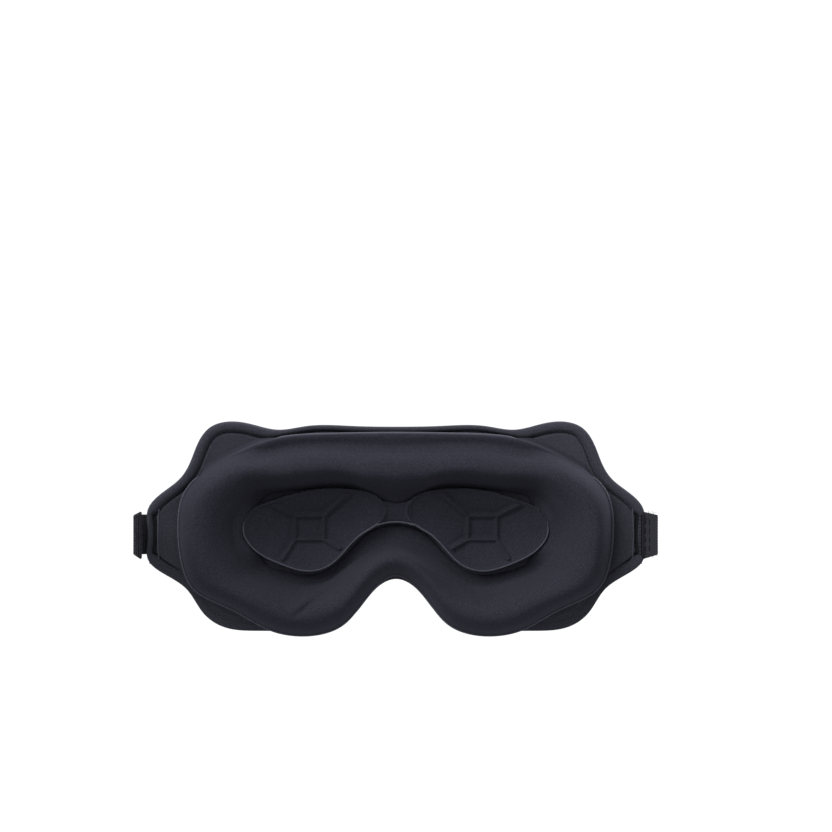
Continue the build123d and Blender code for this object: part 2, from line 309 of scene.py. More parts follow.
def fabric(name, dark, light, pitch=0.5, relief=0.12, sheen=0.25, roughness=0.9, grain=0.55):
    """Knit or woven cloth: fine crossed yarns, soft patches of tone and a raised surface."""
    material = bpy.data.materials.new(name)
    material.use_nodes = True
    nodes, links = material.node_tree.nodes, material.node_tree.links
    shader = nodes["Principled BSDF"]
    set_inputs(shader, {"Roughness": roughness, "Specular IOR Level": 0.0, "Sheen Weight": sheen,
                        "Sheen Roughness": 0.45, "Sheen Tint": (0.72, 0.74, 0.9, 1)})
    where = nodes.new("ShaderNodeTexCoord").outputs["Object"]

    def wave(direction, period, distortion):
        node = nodes.new("ShaderNodeTexWave")
        node.bands_direction = direction
        set_inputs(node, {"Scale": 2 * pi / (20 * period * MM), "Distortion": distortion, "Detail": 1.0,
                          "Detail Scale": 1.5})
        links.new(where, node.inputs["Vector"])
        return node.outputs["Fac"]

    def noise(size, detail=3.0):
        node = nodes.new("ShaderNodeTexNoise")
        set_inputs(node, {"Scale": 1 / (size * MM), "Detail": detail})
        links.new(where, node.inputs["Vector"])
        return node.outputs["Fac"]

    def maths(operation, a, b):
        node = nodes.new("ShaderNodeMath")
        node.operation = operation
        for socket, value in zip(node.inputs, (a, b)):
            if isinstance(value, float):
                socket.default_value = value
            else:
                links.new(value, socket)
        return node.outputs[0]

    yarns = maths("MULTIPLY", wave("X", pitch, 0.6), wave("Z", pitch * 1.25, 0.6))
    flecks = noise(grain, 2.0)
    fuzz = noise(0.35, 2.0)
    tone = maths("ADD", maths("MULTIPLY", flecks, 0.6), maths("MULTIPLY", fuzz, 0.25))
    tone = maths("ADD", tone, maths("MULTIPLY", yarns, 0.15))
    ramp = nodes.new("ShaderNodeValToRGB")
    for element, position, colour in zip(ramp.color_ramp.elements, (0.28, 0.72), (dark, light)):
        element.position = position
        element.color = (*colour, 1)
    links.new(tone, ramp.inputs["Fac"])
    links.new(ramp.outputs["Color"], shader.inputs["Base Color"])
    height = maths("ADD", maths("MULTIPLY", yarns, 0.6), maths("MULTIPLY", fuzz, 0.4))
    bump = nodes.new("ShaderNodeBump")
    set_inputs(bump, {"Strength": 0.6, "Distance": relief * MM})
    links.new(height, bump.inputs["Height"])
    links.new(bump.outputs["Normal"], shader.inputs["Normal"])
    return material


OUTER_CLOTH = fabric("outer_cloth", (0.020, 0.020, 0.0212), (0.042, 0.042, 0.0435), sheen=0.1, grain=0.4)
LINING_CLOTH = fabric("lining_cloth", (0.028, 0.028, 0.037), (0.064, 0.064, 0.081), sheen=0.12)
CUSHION_CLOTH = fabric("cushion_cloth", (0.016, 0.016, 0.0225), (0.043, 0.043, 0.057), sheen=0.06)
# A lighter cloth for seams and edges: its lightness is a painted highlight along them.
EDGE_HIGHLIGHT_CLOTH = fabric("edge_highlight_cloth", (0.050, 0.050, 0.064), (0.098, 0.098, 0.124), sheen=0.25)
CUP_CLOTH = fabric("cup_cloth", (0.014, 0.014, 0.020), (0.040, 0.040, 0.053), sheen=0.12)
WEBBING = fabric("webbing", (0.012, 0.012, 0.0145), (0.026, 0.026, 0.030), pitch=0.7, relief=0.25,
                 sheen=0.03, roughness=0.75)
THREAD = fabric("thread", (0.010, 0.010, 0.012), (0.03, 0.03, 0.034), pitch=0.25, sheen=0.1, roughness=0.6)
HOOK_PLASTIC = fabric("hook_plastic", (0.007, 0.007, 0.008), (0.014, 0.014, 0.016), relief=0.02, sheen=0.0,
                      roughness=0.45)
LOOP_PILE = fabric("loop_pile", (0.010, 0.010, 0.012), (0.026, 0.026, 0.029), pitch=0.3, sheen=0.15)


# ---- the flange's loops ----
flange_loop, = matched_loops([FLANGE_EDGE], LOOP_COUNT)
flange_in = inward(flange_loop)
cushion_outer, cushion_inner = matched_loops([CUSHION_OUTER, CUSHION_INNER], LOOP_COUNT)

# How much each point of the edge belongs to the tabs, the lower half and the top middle, 0 to 1.
edge_x, edge_z = np.abs(flange_loop[:, 0]), flange_loop[:, 1]
at_tab = smoothstep(106, 114, edge_x) * (1 - smoothstep(9.5, 13.5, np.abs(edge_z)))
at_lower = smoothstep(-16, -25, edge_z)
at_top = (1 - smoothstep(52, 64, edge_x)) * smoothstep(0, 20, edge_z)

# Widths and heights at each point of the edge.
BAND_WIDTH = 5.0 - 2.4 * at_tab - 2.2 * at_top
GROOVE_WIDTH = 0.75 + 1.3 * at_tab
GROOVE_DEPTH = 1.5 + 0.4 * at_tab - 1.44 * at_lower
RIM_HEIGHT = 1.3 - 1.28 * at_lower - 0.35 * at_tab


def flange_row(inset, depth):
    """One loop of points at an inset from the flange's edge."""
    row = flange_loop + flange_in * np.broadcast_to(inset, LOOP_COUNT)[:, None]
    return place(row[:, 0], depth, row[:, 1])


# Section of the border band: share of its width from the edge, depth, and share of RIM_HEIGHT.
RIM_SECTION = [(0.35, -2.4, 0), (0.1, -2.2, 0), (0.0, -1.4, 0), (0.02, -0.6, 0.1), (0.08, 0, 0.45),
               (0.2, 0, 0.82), (0.36, 0, 0.98), (0.52, 0, 1.0), (0.68, 0, 0.92), (0.83, 0, 0.66),
               (0.94, -0.3, 0.3), (1.0, -0.9, 0.0), (0.97, -1.5, 0.0), (0.7, -1.8, 0)]


def make_edge_rim():
    """The pressed border band: a flattened roll of fabric along the whole edge."""
    rows = []
    for share, depth, height in RIM_SECTION:
        rows.append(flange_row(share * BAND_WIDTH, depth + height * RIM_HEIGHT))
    piece = loft("edge_rim_band", np.array(rows))
    return finish_piece(piece, "mask", ["edge_rim"], LINING_CLOTH)


# Section of the lining beside the groove: distance in from the groove's far side, and depth.
LINING_LIP = [(0.12, -0.1), (0.45, 0.16), (0.95, 0.22), (1.7, 0.12), (2.6, 0.02)]
LINING_BACK = -3.2
UNDER_CUSHION = 11  # how far in the lining runs under the cushion
HOLLOW_HEIGHT = 8.0  # height of the line that the lining closes on
HOLLOW_REACH = 70.0


def make_inner_panel():
    """The lining from the groove inwards, under the cushion and across the hollow."""
    near = BAND_WIDTH + GROOVE_WIDTH
    front = [flange_row(BAND_WIDTH - 0.9, -GROOVE_DEPTH - 0.1),
             flange_row(BAND_WIDTH + 0.05, -GROOVE_DEPTH),
             flange_row(near - 0.25, -GROOVE_DEPTH),
             flange_row(near - 0.05, -0.6 * GROOVE_DEPTH)]
    for inset, depth in LINING_LIP:
        front.append(flange_row(near + inset, depth))
    start = flange_loop + flange_in * (near + LINING_LIP[-1][0])[:, None]
    under = nearest_on(flange_loop, cushion_outer + inward(cushion_outer) * UNDER_CUSHION)
    for share in (0.2, 0.4, 0.6, 0.8, 1.0):
        row = start * (1 - share) + under * share
        front.append(place(row[:, 0], 0.0, row[:, 1]))
    centre_x = np.clip(under[:, 0], -HOLLOW_REACH, HOLLOW_REACH) * 0.9
    centre = np.stack([centre_x, np.full(LOOP_COUNT, HOLLOW_HEIGHT)], axis=1)
    for share in (0.3, 0.6, 0.9):
        row = under * (1 - share) + centre * share
        front.append(place(row[:, 0], 0.0, row[:, 1]))
    back = []
    for row in (front[-1], front[0]):
        back.append(place(row[:, 0] / MM, LINING_BACK + 1.1 * at_tab, row[:, 2] / MM - TAB_Z))
    piece = loft("inner_lining", np.array(back + front))
    return finish_piece(piece, "mask", ["inner_panel"], LINING_CLOTH)


# ---- strands ----
def strands(name, paths, radius, sides=6):
    """One mesh of many small round threads, each along its own path in millimetres."""
    points, faces = [], []
    for path in paths:
        path = np.asarray(path, float)
        along = np.gradient(path, axis=0)
        along /= np.linalg.norm(along, axis=1)[:, None]
        aside = np.cross(along, [0.31, 0.22, 0.92])
        aside /= np.linalg.norm(aside, axis=1)[:, None]
        upward = np.cross(aside, along)
        first = len(points)
        for centre, a, b in zip(path, aside, upward):
            for k in range(sides):
                angle = 2 * pi * k / sides
                points.append(centre + radius * (cos(angle) * a + sin(angle) * b))
        count = len(path)
        for i in range(count - 1):
            for k in range(sides):
                j = (k + 1) % sides
                low, high = first + i * sides, first + (i + 1) * sides
                faces.append((low + k, low + j, high + j, high + k))
        faces.append(tuple(first + k for k in range(sides)))
        faces.append(tuple(first + (count - 1) * sides + k for k in range(sides)))
    return make_object(name, in_metres(points), faces)


# ---- outer cover ----
TACK_X = 114.4  # where the strap's stitches cross each tab
TACK_RECESS = 0.9  # how far they pull the cloth in
COVER_COLUMNS = 441
COVER_ROWS = 150
COVER_EDGE = 1.4  # thickness at the very edge
COVER_ROLL = 2.4  # width of the edge's rounding
VALLEY_DEPTH = 4.6  # dip at the top middle, over the nose
VALLEY_WIDTH = 26
SHOULDER_HEIGHT = 2.4  # swell just inside the crease


def top_and_bottom(loop):
    """A loop's upper and lower edges, each in order of x."""
    top = loop[loop[:, 1] > 2]
    low = loop[loop[:, 1] < -2]
    return top[top[:, 0].argsort()], low[low[:, 0].argsort()]


def crease_to_tabs(edge, sign):
    """An edge of the dome, carried on in straight lines to the tabs' corners."""
    edge = edge[np.abs(edge[:, 0]) < 98]
    steps = np.linspace(0, 1, 30)[1:, None]
    corner = np.array([TAB_X, sign * (TAB_HALF_HEIGHT - 1)])
    right = edge[-1] * (1 - steps) + corner * steps
    left = (right * [-1, 1])[::-1]
    return np.concatenate([left, edge, right])


def cover_grid():
    """Places over the whole outline, in columns that are closer at the tabs."""
    flange_top, flange_low = top_and_bottom(flange_loop)
    x = TAB_X * np.sin(np.linspace(-1, 1, COVER_COLUMNS) * pi / 2 * 0.8) / sin(pi / 2 * 0.8)
    even = np.linspace(0, 1, COVER_ROWS)
    share = 0.5 * (0.5 - 0.5 * np.cos(even * pi)) + 0.5 * even
    high = np.interp(x, flange_top[:, 0], flange_top[:, 1])
    low = np.interp(x, flange_low[:, 0], flange_low[:, 1])
    grid_x = np.repeat(x[:, None], COVER_ROWS, axis=1)
    return grid_x, low[:, None] + (high - low)[:, None] * share[None]


def cover_depth(grid_x, grid_z, bend):
    """How far the outer face lies in front of the lining at each place."""
    flat = np.stack([grid_x.ravel(), grid_z.ravel()], axis=1)
    dome_loop, = matched_loops([DOME_EDGE], DOME_LOOP_COUNT)
    dome_top, dome_low = top_and_bottom(dome_loop)
    dome_top, dome_low = crease_to_tabs(dome_top, 1), crease_to_tabs(dome_low, -1)
    to_edge = distance_to(flat, matched_loops([FLANGE_EDGE], FINE_LOOP_COUNT)[0]).reshape(grid_x.shape)
    to_crease = distance_to(flat, np.concatenate([dome_top, dome_low[::-1]])).reshape(grid_x.shape)
    below_top = grid_z < np.interp(grid_x, dome_top[:, 0], dome_top[:, 1])
    above_low = grid_z > np.interp(grid_x, dome_low[:, 0], dome_low[:, 1])
    to_crease = np.where(below_top & above_low, to_crease, 0)
    to_tab = smoothstep(92, TAB_X - 3, np.abs(grid_x))

    side_sag = DOME_SIDE_RADIUS - np.sqrt(DOME_SIDE_RADIUS**2 - grid_z**2)
    barrel = (DOME_PLAN_RADIUS - DOME_HEIGHT) - np.sqrt((DOME_PLAN_RADIUS - side_sag)**2 - grid_x**2)
    dome = (bend - barrel - (FLANGE - 0.4)) * (1 - to_tab)
    valley = VALLEY_DEPTH * np.exp(-(grid_x / VALLEY_WIDTH)**2) * smoothstep(0, 46, grid_z)
    shoulder = SHOULDER_HEIGHT * (1 - np.exp(-to_crease / 1.6)) * np.exp(-to_crease / 14)
    across_tab = np.exp(-((np.abs(grid_x) - TACK_X) / 1.7)**4)
    recess = TACK_RECESS * across_tab * (1 - smoothstep(9.8, 11.6, np.abs(grid_z)))
    roll = np.sqrt(np.clip(1 - (1 - np.clip(to_edge / COVER_ROLL, 0, 1))**2, 0, 1))
    depth = COVER_EDGE + (FLANGE - 1.8) * roll + (dome - valley) * (1 - np.exp(-to_crease / 5.0))
    return depth + shoulder * roll * (1 - to_tab) - recess


def make_outer_cover():
    """The domed outer face: creased along the dome's edge and flat at the four corners."""
    columns, rows = COVER_COLUMNS, COVER_ROWS
    grid_x, grid_z = cover_grid()
    bend = BEND_RADIUS - np.sqrt(BEND_RADIUS**2 - grid_x**2)
    depth = cover_depth(grid_x, grid_z, bend)
    front = np.stack([grid_x, bend - depth, grid_z + TAB_Z], axis=-1) * MM
    back = place(grid_x, -np.clip(depth - 0.35, 1.0, 3.3), grid_z)
    points = np.concatenate([front.reshape(-1, 3), back.reshape(-1, 3)])
    faces = []
    total = columns * rows
    for i in range(columns - 1):
        for j in range(rows - 1):
            a = i * rows + j
            b = a + rows
            faces.append((a, b, b + 1, a + 1))
            faces.append((total + a, total + a + 1, total + b + 1, total + b))
    rim = [i * rows for i in range(columns)]
    rim += [(columns - 1) * rows + j for j in range(1, rows)]
    rim += [i * rows + rows - 1 for i in range(columns - 2, -1, -1)]
    rim += list(range(rows - 2, 0, -1))
    for a, b in zip(rim, rim[1:] + rim[:1]):
        faces.append((a, b, total + b, total + a))
    piece = make_object("outer_cover_cloth", points, faces)
    return finish_piece(piece, "mask", ["outer_cover", "shell_foam"], OUTER_CLOTH)


# ---- cushion ----
# Section of the ring: share of the way from the outer to the inner outline, and height over the
# lining. The first is for the sides and the lobes. Over the brow the wall has a flat brim and
# the crest lies further in.
CUSHION_PROFILE = [(0.05, -0.7), (0.0, 0.2), (-0.004, 2.6), (-0.006, 5.2), (-0.012, 6.4), (-0.022, 7.0),
                   (-0.024, 7.5), (-0.016, 7.9), (-0.002, 8.4), (0.01, 9.4), (0.05, 12.8), (0.12, 17.4),
                   (0.20, 20.9), (0.29, 23.2), (0.39, 23.9), (0.49, 23.3), (0.59, 21.3), (0.68, 18.2),
                   (0.76, 14.0), (0.83, 9.4), (0.90, 5.2), (0.98, 2.6), (1.10, 1.0), (1.05, -1.2),
                   (0.5, -1.2)]
BROW_PROFILE = [(0.10, -0.7), (0.02, 0.2), (0.016, 3.8), (0.014, 7.6), (0.012, 10.4), (0.006, 12.0),
                (0.004, 12.8), (0.012, 13.4), (0.03, 13.8), (0.08, 13.7), (0.14, 13.2), (0.20, 13.0),
                (0.26, 13.6), (0.33, 15.4), (0.40, 18.0), (0.48, 20.0), (0.57, 21.3), (0.67, 21.9),
                (0.77, 21.2), (0.87, 18.0), (0.96, 12.2), (1.05, 6.2), (1.14, 2.4), (1.1, -1.2),
                (0.5, -1.2)]
RING_STEPS = 132
RING_WIDTH = 24.0  # usual distance between the two outlines

# Over the ears the wall spreads out at its foot in a soft curve.
SKIRT_SHARE = 0.14
SKIRT_HEIGHT = 15.0

# At the cups' outer ends the slope's foot rises to meet their rims.
FOOT_LIFT = 5.5

# Soft pinch folds in the slopes: start and end of each fold, depth and width.
FOLDS = [((33.8, -28.0), (48.5, -38.8), 1.7, 1.4), ((-34.4, -24.2), (-41.5, -31.0), 1.5, 1.5),
         ((-62.0, -24.0), (-75.0, -28.5), 0.35, 2.5), ((64.0, 24.0), (78.0, 31.0), 0.3, 3.0)]


def fold_depth(x, z):
    """How far the soft folds press the cushion's surface in at each point."""
    total = np.zeros(np.shape(x))
    for start, end, deep, wide in FOLDS:
        start, end = np.array(start), np.array(end)
        length = np.linalg.norm(end - start)
        along = (end - start) / length
        offset = np.stack([x, z], axis=-1) - start
        t = (offset @ along) / length
        side = offset @ np.array([-along[1], along[0]])
        fade = smoothstep(-0.25, 0.15, t) * (1 - smoothstep(0.6, 1.15, t))
        crease = np.exp(-(side / wide)**2) - 0.45 * np.exp(-((side - 2.2 * wide) / (1.6 * wide))**2)
        total += deep * fade * crease
    return total


def soft_waves(x, z):
    """Slow unevenness of a moulded foam surface, under half a millimetre."""
    return (0.22 * np.sin(x / 9.0 + 1.3) * np.cos(z / 11.0 - 0.4)
            + 0.14 * np.sin(x / 4.7 - z / 6.1) * np.cos(z / 5.3 + x / 17.0))


# How much each point of the ring lies over the brow, an ear, the nose, an end or the middle, 0 to 1.
ring_x, ring_z = np.abs(cushion_outer[:, 0]), cushion_outer[:, 1]
over_brow = (1 - smoothstep(62, 84, ring_x)) * smoothstep(0, 20, ring_z)
over_ear = smoothstep(54, 68, ring_x) * (1 - smoothstep(88, 96, ring_x)) * smoothstep(10, 20, ring_z)
over_nose = (1 - smoothstep(8, 26, ring_x)) * smoothstep(0, -20, ring_z)
over_end = smoothstep(64, 76, np.abs(cushion_inner[:, 0]))
over_middle = (1 - smoothstep(5, 24, ring_x)) * smoothstep(0, 20, ring_z)


def make_cushion():
    """The ring cushion: a steep outer wall, a rounded crest and a long slope into the hollow."""
    to_scale = np.array([RING_WIDTH, 1.0])
    profiles = [np.array(profile) * to_scale for profile in (CUSHION_PROFILE, BROW_PROFILE)]
    chord = sum(np.linalg.norm(np.roll(profile, -1, axis=0) - profile, axis=1) for profile in profiles)
    knots = np.concatenate([[0], np.cumsum(chord)])
    at = np.linspace(0, knots[-1], RING_STEPS, endpoint=False)
    side, brow = [spline(knots[:-1], profile, at, period=knots[-1]) / to_scale for profile in profiles]
    rows = []
    for (share, depth), (brow_share, brow_depth) in zip(side, brow):
        share = share + (brow_share - share) * over_brow
        depth = depth + (brow_depth - depth) * over_brow
        share = share - 0.22 * over_nose * (smoothstep(0.4, 0.85, share) - smoothstep(0.9, 1.08, share))
        share = share - 0.09 * over_middle * (smoothstep(0.15, 0.6, share) - smoothstep(0.85, 1.1, share))
        share = share + 0.06 * over_end * (smoothstep(0.35, 0.65, share) + 2 * smoothstep(0.9, 1.1, share))
        share = np.where(share < 0, share * (1 - over_ear), share)
        depth = depth + FOOT_LIFT * over_end * (smoothstep(0.7, 0.95, share) - smoothstep(1.2, 1.3, share))
        skirt = SKIRT_SHARE * over_ear * np.clip(1 - depth / SKIRT_HEIGHT, 0, 1)**3 * (share < 0.3)
        across = (share - skirt)[:, None]
        row = cushion_outer * (1 - across) + cushion_inner * across
        free = np.where(share < 0.2, smoothstep(0.0, 12.0, depth), smoothstep(-0.5, 4.0, depth))
        pressed = free * (fold_depth(row[:, 0], row[:, 1]) + soft_waves(row[:, 0], row[:, 1]))
        rows.append(place(row[:, 0], np.minimum(depth - pressed, CREST), row[:, 1]))
    piece = loft("cushion_ring", np.array(rows))
    finish_piece(piece, "mask", ["cushion_cover", "cushion_foam"], CUSHION_CLOTH)
    # The seam round the ring's outer edge, in the lighter cloth that paints a highlight line on it.
    out = 0.026 - 0.031 * over_brow - 0.07 * over_ear
    radius = (0.52 + 0.12 * over_brow) * (1 - 0.85 * np.minimum(over_ear * 3, 1))
    line = cushion_outer - (cushion_inner - cushion_outer) * out[:, None]
    make_bead("cushion_seam", line, 7.6 + 5.5 * over_brow, radius)


def make_bead(name, line, depth, radius):
    """The pressed seam along an edge, in a lighter cloth that paints a thin highlight line on it."""
    outward = -inward(line, 3)
    radius = np.broadcast_to(radius, len(line))
    rows = []
    for angle in np.linspace(0, 2 * pi, 10, endpoint=False):
        ring = line + outward * (radius * cos(angle))[:, None]
        rows.append(place(ring[:, 0], depth + radius * sin(angle), ring[:, 1]))
    return finish_piece(loft(name, np.array(rows)), "mask", [], EDGE_HIGHLIGHT_CLOTH)


# ---- eye cups ----
def cup_loops(per_side=110):
    """The cup's outline and its floor's rectangle, matched so that the ribs join corners."""
    points = [point for side in CUP_SIDES for point in side[:-1]]
    corners = np.cumsum([0] + [len(side) - 1 for side in CUP_SIDES])
    loop = np.array(points, float)
    chord = np.linalg.norm(np.roll(loop, -1, axis=0) - loop, axis=1)
    knots = np.concatenate([[0], np.cumsum(chord)])
    ends = knots[corners]
    at = np.concatenate([np.linspace(a, b, per_side, endpoint=False) for a, b in zip(ends[:-1], ends[1:])])
    outline = spline(knots[:-1], loop, at, period=knots[-1])
    signs = np.array([(1, 1), (-1, 1), (-1, -1), (1, -1)])
    floor_corners = CUP_CENTRE + signs * CUP_FLOOR / 2
    sides = [np.linspace(a, b, per_side, endpoint=False)
             for a, b in zip(floor_corners, np.roll(floor_corners, -1, axis=0))]
    return outline, np.concatenate(sides), outline[::per_side], floor_corners


# Section of the cup's lip: distance in from the outline, and depth.
CUP_LIP = [(1.4, 0.1), (0.9, 0.4), (0.6, 3.0), (0.35, 6.0), (0.05, 7.2), (0.0, 7.7), (0.15, 8.2),
           (0.5, 8.5), (0.95, 8.45), (1.35, 8.1), (1.7, 7.6), (2.1, 7.3)]
CUP_LIP_WIDTH = 2.2
FACET_STEPS = 70


def make_cup():
    """A pressed cup: a rounded lip, four facets, a rib on each ridge and a small flat floor."""
    outline, floor, rib_ends, rib_starts = cup_loops()
    rows = []
    toward = floor - outline
    reach = np.linalg.norm(toward, axis=1)[:, None]
    ribs = list(zip(rib_starts, rib_ends)) + list(zip(rib_starts, np.roll(rib_starts, -1, axis=0)))

    def add(row, depth, fade=1.0):
        """One loop of points, raised where it crosses a rib and sunk beside it."""
        lift, sink = np.zeros(len(row)), np.zeros(len(row))
        for start, end in ribs:
            t = np.clip((row - start) @ (end - start) / ((end - start) @ (end - start)), 0, 1)
            away = np.linalg.norm(row - start - t[:, None] * (end - start), axis=1)
            lift = np.maximum(lift, np.exp(-(away / RIB_HALF_WIDTH)**2))
            sink = np.maximum(sink, np.exp(-((away - RIB_FOOT) / RIB_HALF_WIDTH)**2))
        lift = RIB_HEIGHT * (lift - 0.2 * sink * (1 - lift))
        rows.append(place(row[:, 0], depth + fade * lift, row[:, 1]))

    for spread in (0.1, 0.3, 0.5, 0.7, 0.85):
        add(CUP_CENTRE + (outline - CUP_CENTRE) * spread, -0.6, 0)
    for inset, depth in CUP_LIP:
        add(outline + toward * (inset / reach), depth, 0)
    for step in range(1, FACET_STEPS + 1):
        share = step / FACET_STEPS
        row = outline + toward * (share + CUP_LIP_WIDTH * (1 - share) / reach)
        add(row, CUP_BRIM + (CUP_DEEP - CUP_BRIM) * share, min(1, step / 3))
    for shrink in (0.94, 0.88, 0.82, 0.76, 0.7, 0.6, 0.5):
        add(CUP_CENTRE + (floor - CUP_CENTRE) * shrink, CUP_DEEP)
    return loft("left_cup", np.array(rows), closed=False)


def make_cups():
    """Both cups, each with a pressed edge in a lighter cloth that paints a highlight line on it."""
    finish_pair(make_cup(), "eye_cup", CUP_CLOTH)
    outline = cup_loops()[0][::-1]
    line = outline + inward(outline, 3) * 0.35
    left_bead = make_bead("left_cup_edge", line, 8.2 - smoothstep(2, 12, line[:, 1]), 0.42)
    finish_piece(mirror_piece(left_bead, "right_cup_edge"), "mask", [], EDGE_HIGHLIGHT_CLOTH)


BRIDGE_REACH = 7.4  # half of the web's length
BRIDGE_LOW = 4.4
BRIDGE_HIGH = 16.0
BRIDGE_DEPTH = 5.2
BRIDGE_HALF_THICKNESS = 1.3
BRIDGE_COLUMNS = 25


def make_bridge():
    """The small saddle web between the cups, and the edge below it in a lighter cloth as a painted highlight
    line.
    """
    rows = []
    for i in range(BRIDGE_COLUMNS):
        x = -BRIDGE_REACH + 2 * BRIDGE_REACH * i / (BRIDGE_COLUMNS - 1)
        waist = 1 - (x / BRIDGE_REACH)**2
        low = BRIDGE_LOW + 1.0 * waist
        high = BRIDGE_HIGH - 1.6 * waist
        ring = []
        for angle in np.linspace(0, 2 * pi, 30, endpoint=False):
            z = (low + high) / 2 + (high - low) / 2 * cos(angle)
            swell = np.sign(sin(angle)) * abs(sin(angle))**0.5
            ring.append(place(x, BRIDGE_DEPTH + 1.3 * (1 - waist) + BRIDGE_HALF_THICKNESS * swell, z))
        rows.append(ring)
    piece = loft("bridge_web", np.array(rows), closed=False)
    finish_piece(piece, "mask", ["cup_bridge"], CUP_CLOTH)
    x = np.linspace(-9.5, 9.5, BRIDGE_COLUMNS)
    rise = 1 - np.minimum(np.abs(x) / BRIDGE_REACH, 1.2)**2
    edge = straight(x, 8.0 - 1.5 * rise, BRIDGE_LOW - 0.1 + 1.0 * rise)
    finish_piece(strands("bridge_edge", [edge], 0.42, 10), "mask", [], EDGE_HIGHLIGHT_CLOTH)


# ---- straps ----
STRAP_WIDTH = ROOT_HIGH.z - ROOT_LOW.z
STRAP_THICKNESS = 1.2
STRAP_DEPTH = -1.8  # depth of the strap's middle where it is sewn in
STRAP_SEWN_X = 109.0
STRAP_EXIT = 3.5  # straight length before the bend
STRAP_BEND_RADIUS = 3.5
STRAP_LEAN = radians(9.0)
STRAP_RISE = radians(3.3)
BAND_LENGTH = 98.0
TIP_LENGTH = 47.0
TIP_GAP = 0.3
ELASTIC_RIB_PITCH = 1.36
ELASTIC_RIB_DEPTH = 0.09


def strap_bend():
    """Start and end angles of the bend that leaves the left tab, and a function for its points."""
    tangent = asin(TAB_X / BEND_RADIUS)
    turned = pi / 2 + STRAP_LEAN
    exit_x = TAB_X + STRAP_EXIT * cos(tangent)
    exit_y = BEND_RADIUS - sqrt((BEND_RADIUS - STRAP_DEPTH)**2 - TAB_X**2) + STRAP_EXIT * sin(tangent)
    to_centre = STRAP_BEND_RADIUS * np.array([-sin(tangent), cos(tangent)])
    centre = np.array([exit_x, exit_y]) + to_centre

    def on_bend(angle):
        return centre + STRAP_BEND_RADIUS * np.array([sin(angle), -cos(angle)])
    return tangent, turned, on_bend


def strap_path():
    """Middle line, outward normal and width direction of the root, through its bend."""
    tangent, turned, on_bend = strap_bend()
    points, normals, widths = [], [], []

    def add(point, angle, rise):
        points.append(np.array([point[0], point[1], 0.0]))
        normals.append(np.array([sin(angle), -cos(angle), 0.0]))
        widths.append(np.array([-cos(angle) * sin(rise), -sin(angle) * sin(rise), cos(rise)]))

    for x in np.linspace(STRAP_SEWN_X + 1, TAB_X, 10):
        angle = asin(x / BEND_RADIUS)
        add((x, BEND_RADIUS - sqrt((BEND_RADIUS - STRAP_DEPTH)**2 - x**2)), angle, 0)
    for angle in np.linspace(tangent, turned, 15):
        share = (angle - tangent) / (turned - tangent)
        add(on_bend(angle), angle, STRAP_RISE * share)
    return points, normals, widths


def webbing_section(samples=58):
    """One loop round the strap: thickness and width offsets, with a row of fine ribs."""
    across = np.linspace(-1, 1, samples) * (STRAP_WIDTH / 2 - 0.25)
    rib = (1 - np.cos(2 * pi * across / ELASTIC_RIB_PITCH)) / 2
    half = STRAP_THICKNESS / 2 - ELASTIC_RIB_DEPTH * rib
    edge = smoothstep(0, 0.5, STRAP_WIDTH / 2 - np.abs(across))
    half = half * (0.55 + 0.45 * edge)
    front = np.stack([half, across], axis=1)
    back = np.stack([-half[::-1], across[::-1]], axis=1)
    top = np.array([[0.2, STRAP_WIDTH / 2], [-0.2, STRAP_WIDTH / 2]])
    low = np.array([[-0.2, -STRAP_WIDTH / 2], [0.2, -STRAP_WIDTH / 2]])
    return np.concatenate([front, top, back, low])


def sweep(name, points, normals, widths):
    """A length of webbing along a line of points."""
    section = webbing_section()
    rows = []
    for point, normal, width in zip(points, normals, widths):
        rows.append([point + normal * thick + width * across for thick, across in section])
    return loft(name, in_metres(rows), closed=False)


def straight_strap(name, start, length):
    """A straight length of the left strap, measured from the end of its bend."""
    origin, run, normal, width = strap_axes()
    count = int(length / 2) + 1
    along = np.linspace(start, start + length, count)
    points = [origin + run * t for t in along]
    return sweep(name, points, [normal] * count, [width] * count)


def strap_axes():
    """Where the left strap's straight part starts, its direction, outward normal and width direction."""
    turned, on_bend = strap_bend()[1:]
    flat = np.array([cos(turned), sin(turned), 0.0])
    run = flat * cos(STRAP_RISE) + np.array([0, 0, sin(STRAP_RISE)])
    normal = np.array([sin(turned), -cos(turned), 0.0])
    width = -flat * sin(STRAP_RISE) + np.array([0, 0, cos(STRAP_RISE)])
    return np.append(on_bend(turned), 0.0), run, normal, width


def in_frame(point, side):
    """A point of the left strap in the shared frame, or its twin on the right for side -1."""
    return (side * point[0] * MM, point[1] * MM, (point[2] + TAB_Z) * MM)


# Pressed edges beside each strap's slot: distance in from the tab's end, half length and depth.
TAB_EDGES = [(4.9, 12.0, 0.25), (0.7, 14.0, 0.3)]


def make_tab_edges():
    """Pressed edges on both sides of each strap's slot, in a lighter cloth as a painted highlight."""
    paths = []
    for inset, reach, depth in TAB_EDGES:
        z = np.linspace(-reach, reach, 25)
        bow = (TAB_X - inset) - 0.010 * np.abs(z)**1.6
        paths.append(straight(bow, depth, z))
    finish_pair(strands("left_tab_edges", paths, 0.33, 8), None, EDGE_HIGHLIGHT_CLOTH)


